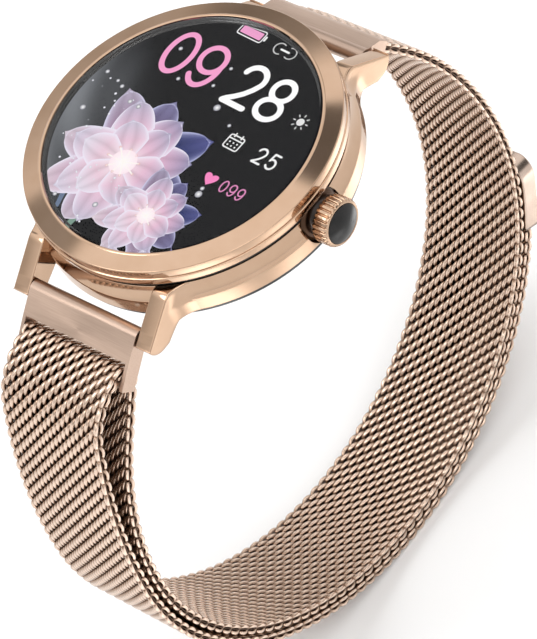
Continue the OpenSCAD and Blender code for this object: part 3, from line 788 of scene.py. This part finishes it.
def make_strap():
    """The mesh in bands that ride on one body each, with a band at each peel that rides on no body.
    """
    tail_start = PATH_AT[-2]
    peels = [tail_start + math.radians(a - 180) * OUTER_M for a in PEELS]
    bends = [(row_near(s - BEND_HALF), row_near(s + BEND_HALF)) for s in peels]
    low12, bottom, up6, fold = [row_near(s) for s in (
        PATH_AT[1], PATH_AT[1] + PATH_LEN[1] / 2, PATH_AT[2], PATH_AT[4])]
    end = row_near(PATH_AT[-1]) - 1
    weave("weave_12_upper", 0, low12, "case", ["mesh_upper_12"])
    weave("weave_12_lower", low12, bottom, "case", ["mesh_bottom_12"])
    weave("weave_6_lower", bottom, up6, "case", ["mesh_bottom_6"])
    weave("weave_6_upper", up6, fold, "case", ["mesh_upper_6", "mesh_slot"])
    weave("weave_outer", fold, bends[0][0], "case",
          ["mesh_fold", "mesh_out_bulge", "mesh_out_side", "mesh_out_low"])
    weave("weave_tail_1", bends[0][1], bends[1][0], "tail_1", ["tail_a"])
    weave("weave_tail_2", bends[1][1], bends[2][0], "tail_2", ["tail_b"])
    weave("weave_tail_3", bends[2][1], end, "tail_3", ["tail_c"])
    pairs = (("case", "tail_1"), ("tail_1", "tail_2"), ("tail_2", "tail_3"))
    for i, (a, b) in enumerate(pairs):
        ob = weave(f"weave_bend_{i + 1}", *bends[i], None)
        pos, head, _ = along([peels[i]])
        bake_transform(ob)


CLASP_FROM, CLASP_TO, CLASP_IN, CLASP_OUT = -25.0, -9.5, OUTER_M - 1.02, OUTER_M + 1.6
CLASP_HALF_W, CLASP_CORNER, CLASP_SOFT, CLASP_TIP = 8.45, 2.8, 0.22, 0.35


def make_clasp():
    """The clasp block: a bar of rounded section swept round the loop, with rounded corners."""
    middle, half_t = (CLASP_IN + CLASP_OUT) / 2, (CLASP_OUT - CLASP_IN) / 2
    bend = CLASP_TO - math.degrees(CLASP_CORNER / middle)
    stations = [(a, CLASP_HALF_W, half_t) for a in np.linspace(CLASP_FROM, bend, 24)]
    for t in np.linspace(0, math.pi / 2, 16)[1:]:
        back = CLASP_CORNER * (1 - math.sin(t))
        drop = max(CLASP_TIP - back, 0.0)
        soft_end = CLASP_TIP - math.sqrt(CLASP_TIP ** 2 - drop ** 2)
        stations.append((CLASP_TO - math.degrees(back / middle),
                         CLASP_HALF_W - CLASP_CORNER * (1 - math.cos(t)), half_t - soft_end))
    verts = []
    for a, half_w, half_h in stations:
        r = min(CLASP_SOFT, half_h * 0.9)
        for sx, sy, a0 in ((1, 1, 0), (-1, 1, 90), (-1, -1, 180), (1, -1, 270)):
            for c, s in quarter(a0, a0 + 90, 6):
                out = middle + sy * (half_h - r) + r * s
                verts.append((sx * (half_w - r) + r * c, out * cosd(a), LOOP_Z + out * sind(a)))
    faces = loft(len(stations), len(verts) // len(stations), flip=True)
    even_normals(add_piece("clasp_body_fine", verts, faces, ROSE_SATIN, "tail_3",
                           ["clasp_body"]))


# ---------------------------------------------------------------- display picture
PICTURE_Z, LAYER_STEP = GLASS_LOW + 0.004, 0.004
PICTURE_TURN, PICTURE_R = -3.5, 17.75
PINK, WHITE, ROSE_TEXT = (0.92, 0.36, 0.62), (1.0, 1.0, 1.0), (0.72, 0.26, 0.5)
BRIGHT, SILVER, PALE_GREY, MID_GREY = ((g, g, g) for g in (0.9, 0.85, 0.8, 0.6))
NIGHT, VIOLET, LILAC, BLUSH = ((0.02, 0.03, 0.12), (0.10, 0.11, 0.32), (0.50, 0.38, 0.66),
                               (0.86, 0.52, 0.70))
MILK, RIM, FROST = (1.0, 0.86, 0.90), (0.50, 0.52, 0.80), (0.86, 0.82, 0.94)


def mixed(a, b, k):
    """Colour a, with share k of colour b."""
    return tuple(p * (1 - k) + q * k for p, q in zip(a, b))


class Drawing:
    """Collects flat shapes of one layer into one piece."""

    def __init__(self):
        self.points, self.faces, self.colours = [], [], []

    def poly(self, pts, colour):
        b = len(self.points)
        self.points += [tuple(p) for p in pts]
        self.colours += [colour] * len(pts)
        self.faces.append(tuple(range(b, b + len(pts))))

    def disc(self, x, y, r, inner, outer=None, n=20):
        b = len(self.points)
        self.points += [(x, y)] + oval(x, y, r, r, n)
        self.colours += [inner] + [outer or inner] * n
        self.faces += [(b, b + 1 + k, b + 1 + (k + 1) % n) for k in range(n)]

    def stroke(self, pts, width, colour, closed=False):
        """A line of even width, with round ends unless it is closed."""
        p = np.array(pts, float)
        t = np.roll(p, -1, 0) - np.roll(p, 1, 0) if closed else np.gradient(p, axis=0)
        t /= np.linalg.norm(t, axis=1, keepdims=True)
        half = np.stack([-t[:, 1], t[:, 0]], -1) * width / 2
        b, k = len(self.points), len(p)
        for q, m in zip(p, half):
            self.points += [tuple(q + m), tuple(q - m)]
        self.colours += [colour] * (2 * k)
        for i in range(k if closed else k - 1):
            j = (i + 1) % k
            self.faces.append((b + 2 * i, b + 2 * i + 1, b + 2 * j + 1, b + 2 * j))
        if not closed:
            for q in (p[0], p[-1]):
                self.disc(q[0], q[1], width / 2, colour, n=12)

    def make(self, name, layer, turn=True):
        """The drawing as one piece, turned with the picture and kept inside its edge."""
        v = np.asarray(self.points, float)
        if turn:
            c, s = cosd(PICTURE_TURN), sind(PICTURE_TURN)
            v = np.stack([v[:, 0] * c - v[:, 1] * s, v[:, 0] * s + v[:, 1] * c], -1)
        r = np.hypot(v[:, 0], v[:, 1])
        v = v * np.minimum(1, PICTURE_R / np.maximum(r, 1e-9))[:, None]
        pts = np.column_stack([v, np.full(len(v), PICTURE_Z + LAYER_STEP * layer)])
        ob = add_piece(name, pts, self.faces, PAINT, "case", smooth=False)
        rgba = np.column_stack([np.asarray(self.colours, float), np.ones(len(pts))])
        paint = ob.data.attributes.new("paint", "FLOAT_COLOR", "POINT")
        paint.data.foreach_set("color", rgba.astype(np.float32).ravel())


def arc(cx, cy, rx, ry, a0, a1, n=22):
    return [(cx + rx * cosd(a), cy + ry * sind(a)) for a in np.linspace(a0, a1, n)]


def oval(cx, cy, rx, ry, n):
    """A closed ring of n points."""
    return arc(cx, cy, rx, ry, 0, 360, n + 1)[:-1]


def figure(d, ch, x, y, w, h, width, colour):
    """A plain number in a box w by h centred on x, y."""
    def draw(pts, closed=False):
        placed = [(x + px * w / 2, y + py * h / 2) for px, py in pts]
        d.stroke(placed, width, colour, closed)

    if ch == "0":
        draw(oval(0, 0, 1, 1, 43), closed=True)
    elif ch == "9":
        draw(oval(0, 0.36, 1, 0.64, 35), closed=True)
        draw(arc(-0.05, -0.05, 1.05, 0.95, 12, -142, 26))
    elif ch == "8":
        draw(oval(0, 0.5, 0.86, 0.5, 33), closed=True)
        draw(oval(0, -0.5, 1, 0.5, 35), closed=True)
    elif ch == "2":
        draw(arc(0, 0.45, 0.95, 0.55, 168, -18, 24)
             + [(0.62, -0.05), (0.2, -0.38), (-0.35, -0.68), (-0.78, -0.86), (-1, -1)])
        draw([(-1, -1), (0, -1), (1, -1)])
    elif ch == "5":
        draw([(0.8, 1), (0, 1), (-0.62, 1)])
        draw([(-0.62, 1), (-0.72, 0.5), (-0.82, 0.02)])
        draw([(-0.82, 0.02)] + arc(-0.1, -0.35, 1.0, 0.65, 128, -150, 26))


def soft_box(x, y, w, h, r):
    """A box outline with round corners, centred on x, y."""
    out = []
    for sx, sy, a0 in ((1, 1, 0), (-1, 1, 90), (-1, -1, 180), (1, -1, 270)):
        out += arc(x + sx * (w / 2 - r), y + sy * (h / 2 - r), r, r, a0, a0 + 90, 6)
    return out


def draw_battery(d, x, y):
    d.stroke(soft_box(x, y, 4.0, 1.75, 0.3), 0.17, SILVER, closed=True)
    d.poly(soft_box(x, y, 3.4, 1.15, 0.15), (0.86, 0.36, 0.62))
    d.poly(soft_box(x + 2.3, y, 0.32, 0.8, 0.1), SILVER)


def draw_link(d, x, y):
    """Two open hooks round a short bar."""
    d.stroke(arc(x - 0.9, y, 0.85, 0.85, 62, 298, 20), 0.17, MID_GREY)
    d.stroke(arc(x + 0.9, y, 0.85, 0.85, -118, 118, 20), 0.17, MID_GREY)
    d.stroke([(x - 0.65, y), (x, y), (x + 0.65, y)], 0.3, BRIGHT)


def draw_sun(d, x, y):
    d.disc(x, y, 0.55, PALE_GREY, n=24)
    for a in range(0, 360, 45):
        d.stroke([(x + r * cosd(a), y + r * sind(a)) for r in (0.85, 1.0, 1.15)], 0.14, PALE_GREY)


def draw_calendar(d, x, y):
    """A leaf with a head line, two rings and six dots."""
    d.stroke(soft_box(x, y, 2.3, 2.0, 0.3), 0.2, SILVER, closed=True)
    d.stroke([(x - 1.05, y + 0.45), (x, y + 0.45), (x + 1.05, y + 0.45)], 0.2, SILVER)
    for dx in (-0.55, 0.55):
        d.stroke([(x + dx, y + dy) for dy in (0.8, 1.05, 1.3)], 0.2, SILVER)
    for dx in (-0.6, 0, 0.6):
        for dy in (-0.55, -0.05):
            d.disc(x + dx, y + dy, 0.13, SILVER, n=10)


def draw_heart(d, x, y, size):
    turn = np.linspace(0, 2 * np.pi, 48, endpoint=False)
    d.poly([(x + size * 0.98 * math.sin(t) ** 3,
             y + size * (0.8 * math.cos(t) - 0.33 * math.cos(2 * t) - 0.12 * math.cos(3 * t)))
            for t in turn], (0.95, 0.25, 0.55))


def make_figures():
    d = Drawing()
    for text, xs, y, w, h, width, colour in (
            ("09", (-9.35, -4.45), 9.85, 3.65, 6.2, 0.78, PINK),
            ("28", (2.5, 7.4), 9.85, 3.5, 6.1, 0.82, WHITE),
            ("25", (11.45, 13.55), 2.35, 1.25, 2.2, 0.3, BRIGHT),
            ("099", (10.35, 11.75, 13.1), -3.4, 0.86, 1.65, 0.2, ROSE_TEXT)):
        for ch, x in zip(text, xs):
            figure(d, ch, x, y, w, h, width, colour)
    draw_battery(d, -2.75, 16.7)
    draw_link(d, 3.25, 16.4)
    draw_sun(d, 12.6, 8.75)
    draw_calendar(d, 6.9, 2.3)
    draw_heart(d, 7.95, -3.3, 1.05)
    d.make("figures", 1)


def make_backdrop():
    """The black ground, with a soft grey glow towards the lower left edge."""
    d = Drawing()
    rows, cols = 26, 120
    glow_from, glow_reach, glow_start, glow_span = 6.0, 11.7, 140, 110
    for i in range(rows + 1):
        r = PICTURE_R * max(i / rows, 0.002)
        for j in range(cols):
            a = 360 * j / cols
            lean = (a - glow_start) / glow_span
            glow = 0.25 * max(0.0, (r - glow_from) / glow_reach) ** 1.8
            glow *= max(0.0, math.sin(math.pi * lean)) ** 1.5 if 0 < lean < 1 else 0.0
            glow *= 0.8 + 0.2 * math.sin(7 * math.radians(a) + r)
            d.points.append((r * cosd(a), r * sind(a)))
            d.colours.append((0.006 + glow * 0.95, 0.006 + glow, 0.007 + glow * 1.08))
    for i in range(rows):
        for j in range(cols):
            a, b = i * cols + j, i * cols + (j + 1) % cols
            d.faces.append((a, a + cols, b + cols, b))
    d.make("backdrop", 0, turn=False)


def make_stems():
    d = Drawing()
    d.stroke([(-3.2, -13), (-3.9, -15), (-4.2, -17.6)], 0.9, (0.2, 0.32, 0.26))
    d.stroke([(-8.6, -12), (-8.2, -14), (-7.6, -15.9)], 0.7, (0.15, 0.2, 0.3))
    d.make("stems", 2)


def petal(d, cx, cy, ang, length, wide, base, mid, tip, edge, bend):
    """One petal as a strip grid that shades from its base to its tip and darkens at its rim."""
    rows, cols = 18, 9
    b = len(d.points)
    ca, sa = math.cos(ang), math.sin(ang)
    for i in range(rows + 1):
        t = i / rows
        half = wide * (0.12 + 0.88 * min(1.0, t * 1.9) ** 0.8) * math.sqrt(max(0.0, 1 - t ** 3.2))
        shade = mixed(mixed(base, mid, min(1.0, t * 2)), tip, max(0.0, t * 2 - 1))
        for j in range(cols + 1):
            u = 2 * j / cols - 1
            px = length * (t - (0.06 * u * u if t > 0.5 else 0))
            py = half * u + bend * length * t * t
            d.points.append((cx + px * ca - py * sa, cy + px * sa + py * ca))
            rib = 0.86 + 0.14 * math.cos(u * 9.0) * (1 - 0.5 * t)
            d.colours.append(mixed([c * rib for c in shade], edge, abs(u) ** 6))
    for i in range(rows):
        for j in range(cols):
            a = b + i * (cols + 1) + j
            d.faces.append((a, a + cols + 1, a + cols + 2, a + 1))


def paleness(angle):
    """How much of the light, which comes from the lower left, a petal catches."""
    return 0.5 + 0.5 * math.cos(angle - math.radians(215))


def flower(prefix, cx, cy, size, turn, layer):
    """A ring of dark outer petals, two rings of pale ones on their own layers, and a heart."""
    back = Drawing()
    for i in range(8):
        a = turn + 2 * math.pi * (i + 0.5) / 8
        pale = paleness(a)
        petal(back, cx, cy, a, size * (1.0 + 0.06 * math.cos(3 * i)), size * 0.30,
              mixed(VIOLET, LILAC, pale), mixed(NIGHT, BLUSH, 0.75 * pale),
              mixed(VIOLET, MILK, 0.8 * pale), mixed(RIM, FROST, pale),
              0.07 * math.sin(2.3 * i))
    back.make(prefix + "_back", layer)
    for ring, (count, reach, wide) in enumerate(((7, 0.84, 0.30), (6, 0.62, 0.27))):
        for i in range(count):
            a = turn + 2 * math.pi * (i + 0.5 * ring) / count + 0.2 * ring
            pale = paleness(a) * 0.75 + 0.25 * ring
            front = Drawing()
            petal(front, cx, cy, a, size * reach * (1 + 0.05 * math.sin(4 * i)), size * wide,
                  MILK, mixed(BLUSH, MILK, 0.45 * pale),
                  mixed(VIOLET, FROST, min(1.0, 0.25 + 0.8 * pale)), FROST,
                  0.08 * math.cos(1.7 * i))
            front.make(f"{prefix}_petal_{ring}_{i}", layer + 1 + ring * 8 + i)
    heart = Drawing()
    heart.disc(cx, cy, size * 0.17, WHITE, (1.0, 0.82, 0.88), 28)
    for i in range(9):
        a = turn + 2 * math.pi * i / 9
        r = size * (0.2 + 0.04 * math.sin(5 * i))
        tip = (cx + r * math.cos(a), cy + r * math.sin(a))
        heart.stroke([(cx, cy), ((cx + tip[0]) / 2, (cy + tip[1]) / 2), tip], size * 0.018,
                     (1.0, 0.95, 0.9))
        heart.disc(tip[0], tip[1], size * 0.018, (0.8, 0.5, 0.5), n=8)
    heart.make(prefix + "_heart", layer + 18)


# Specks of light listed round the figures and flowers: x, y, radius
SPECKS = [(-9.0, 10.9, 0.3), (-0.6, 11.0, 0.26), (-1.1, 7.9, 0.26), (-6.2, 6.9, 0.28),
          (1.6, 5.3, 0.5), (4.9, 3.7, 0.26), (-15.9, 4.0, 0.3), (-13.6, 3.4, 0.25),
          (-12.5, 2.9, 0.3), (-9.9, 1.4, 0.35), (-8.3, 1.2, 0.35), (7.8, -5.5, 0.3),
          (7.9, -6.4, 0.5), (-15.3, -1.9, 0.4), (-3.7, -13.3, 0.4), (-9.8, -14.2, 0.3)]


def make_sparks():
    d = Drawing()
    for x, y, r in SPECKS:
        d.disc(x, y, r, WHITE, (0.25, 0.25, 0.3))
    for _ in range(46):
        a, out = rng.uniform(165, 262), rng.uniform(9.5, 17.2)
        d.disc(out * cosd(a), out * sind(a), rng.uniform(0.05, 0.2), WHITE, (0.6, 0.6, 0.7), n=8)
    d.make("sparks", 46, turn=False)


def make_screen():
    """The gloss border round the picture and the black panel under it."""
    inner, outer, low = PICTURE_R - 0.03, GLASS_R - 0.05, PICTURE_Z
    v, f = lathe([(inner, low), (outer, low), (outer, low + 0.02), (inner, low + 0.02)], 192)
    add_piece("screen_border", v, f, BLACK_GLOSS, "case", smooth=False)
    r, low, high = 17.6, 9.1, GLASS_LOW - 0.02
    v, f = lathe_solid([(0, low), (r, low), (r, high), (0, high)], 128)
    add_piece("display_panel_fine", v, f, PANEL, "case", ["display_panel"], smooth=False)


# ---------------------------------------------------------------- studio
# Pools of light on the floor, from lamps at this height: x and y in mm, power, spread
POOL_HEIGHT = 0.32
FLOOR_POOLS = [(48, -76, 10.0, 13), (92, -6, 6.0, 12), (46, 72, 10.0, 14)]
# Dark flags round the set: direction, cosines where each starts and is full, light that is left
STUDIO_FLAGS = [
    ((0.690, 0.530, 0.470), 0.940, 0.970, 0.12),
    ((-0.279, 0.468, 0.838), 0.990, 0.994, 0.15),
    ((-0.706, 0.060, 0.706), 0.990, 0.996, 0.35),
    ((-0.599, 0.583, 0.549), 0.975, 0.995, 0.40),
]
# Light of the surround by height, from the horizon to straight up
SKY = [(0.0, (1.0, 1.0, 1.0)), (0.14, (0.9, 0.9, 0.9)), (0.28, (0.45, 0.44, 0.43)),
       (0.46, (0.62, 0.61, 0.60)), (0.68, (1.1, 1.1, 1.1)), (1.0, (1.2, 1.2, 1.2))]


def make_floor(low):
    half = 1.6
    me = bpy.data.meshes.new("floor")
    me.from_pydata([(-half, -half, low), (half, -half, low), (half, half, low),
                    (-half, half, low)], [], [(0, 1, 2, 3)])
    me.materials.append(PAPER)
    floor = bpy.data.objects.new("floor", me)
    bpy.context.scene.collection.objects.link(floor)


def make_world():
    """A surround that is bright at the horizon and overhead, dimmed where the flags stand."""
    world = bpy.data.worlds.new("studio")
    bpy.context.scene.world = world
    world.use_nodes = True
    nt, links = world.node_tree.nodes, world.node_tree.links
    coord = nt.new("ShaderNodeTexCoord")
    split = nt.new("ShaderNodeSeparateXYZ")
    links.new(coord.outputs["Generated"], split.inputs["Vector"])
    last = ramp(nt, links, split.outputs["Z"], SKY).outputs["Color"]
    for way, start, full, left in STUDIO_FLAGS:
        dot = nt.new("ShaderNodeVectorMath")
        dot.operation = "DOT_PRODUCT"
        dot.inputs[1].default_value = Vector(way).normalized()
        links.new(coord.outputs["Generated"], dot.inputs[0])
        fade = remap(nt, links, dot.outputs["Value"], 1.0, left)
        fade.interpolation_type = "SMOOTHSTEP"
        fade.inputs["From Min"].default_value = start
        fade.inputs["From Max"].default_value = full
        mix = nt.new("ShaderNodeVectorMath")
        mix.operation = "SCALE"
        links.new(last, mix.inputs[0])
        links.new(fade.outputs["Result"], mix.inputs["Scale"])
        last = mix.outputs["Vector"]
    links.new(last, nt["Background"].inputs["Color"])
    nt["Background"].inputs["Strength"].default_value = 1.3


def add_light(name, kind, power, at):
    """A light at a place given in metres."""
    data = bpy.data.lights.new(name, kind)
    data.energy = power
    ob = bpy.data.objects.new(name, data)
    ob.location = at
    bpy.context.scene.collection.objects.link(ob)
    return ob


def make_lamp(name, at, size, power):
    """A round soft lamp aimed at the watch."""
    ob = add_light(name, "AREA", power, at)
    ob.data.shape = "DISK"
    ob.data.size = size
    way = Vector((0, 0, -0.02)) - Vector(at)
    ob.rotation_euler = way.to_track_quat("-Z", "Y").to_euler()


def make_pools(low):
    """Soft pools of light on the floor, which the case's polished flank mirrors."""
    for i, (x, y, power, spread) in enumerate(FLOOR_POOLS):
        ob = add_light(f"pool_{i + 1}", "SPOT", power, (x * MM, y * MM, low + POOL_HEIGHT))
        ob.data.spot_size = math.radians(spread)
        ob.data.spot_blend = 1.0
        ob.data.shadow_soft_size = 0.02


def make_studio():
    bpy.context.scene.view_settings.view_transform = "Standard"
    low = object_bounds()[0][2]
    make_floor(low)
    make_world()
    make_lamp("key", (-0.25, -0.35, 0.6), 0.35, 1.0)
    make_lamp("fill", (0.5, -0.25, 0.5), 0.4, 0.6)
    make_pools(low)


# ---------------------------------------------------------------- all
make_camera()
dress_cad_nodes()
make_bezel()
make_mid_case()
make_seam_gasket()
make_lugs()
make_lens()
make_crown_knob()
make_crown_recess()
make_crown_stone()
for end in ("end_piece", "buckle"):
    refined(end, ROSE_BRUSHED, 0.14, 3)
make_clasp()
make_strap()
make_figures()
make_backdrop()
make_stems()
flower("bloom_a", -4.2, -6.8, 11.2, 0.35, 3)
flower("bloom_b", 4.3, -11.6, 7.0, 0.1, 24)
make_sparks()
make_screen()
make_studio()

bpy.context.view_layer.update()
